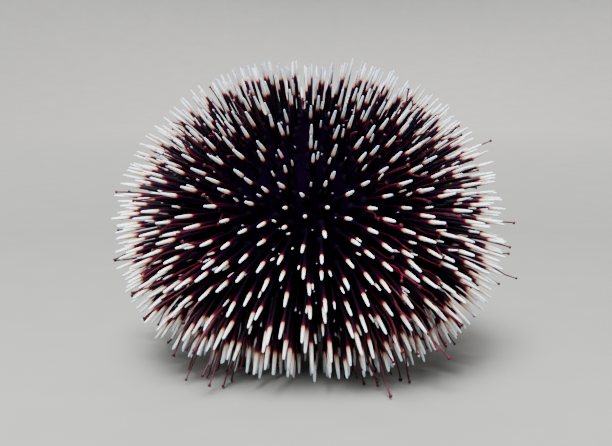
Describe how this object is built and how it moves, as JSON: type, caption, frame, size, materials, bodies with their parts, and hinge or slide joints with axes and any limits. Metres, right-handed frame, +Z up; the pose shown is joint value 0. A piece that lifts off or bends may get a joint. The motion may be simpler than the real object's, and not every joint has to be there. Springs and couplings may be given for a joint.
{
  "type": "violet sea urchin",
  "caption": "Life-size still model of a violet sea urchin: domed shell bristling with blunt white-tipped spines, tube feet, mouth and teeth beneath.",
  "frame": {"origin": "middle of the model's footprint, at the level of the floor under the lower spines", "axes": "+Z up from the mouth to the apex; -Y towards the side that the picture shows; +X to its right"},
  "size_m": [0.1504, 0.1478, 0.108],
  "materials": {
    "wide_sector": "dark violet shell and blunt violet spines with cream white tips",
    "narrow_sector": "dark violet shell and spines with cream white tips, crimson tube feet",
    "apical_plate": "dark violet plates at the apex with short spines",
    "mouth_membrane": "soft wine-red skin round the mouth",
    "tooth": "ivory-coloured chisel teeth"
  },
  "bodies": {
    "root": {"interambulacrum_1": "wide_sector", "interambulacrum_2": "wide_sector", "interambulacrum_3": "wide_sector", "interambulacrum_4": "wide_sector", "interambulacrum_5": "wide_sector", "ambulacrum_1": "narrow_sector", "ambulacrum_2": "narrow_sector", "ambulacrum_3": "narrow_sector", "ambulacrum_4": "narrow_sector", "ambulacrum_5": "narrow_sector", "apical_disc": "apical_plate", "peristome": "mouth_membrane", "tooth_1": "tooth", "tooth_2": "tooth", "tooth_3": "tooth", "tooth_4": "tooth", "tooth_5": "tooth"}
  },
  "joints": []
}
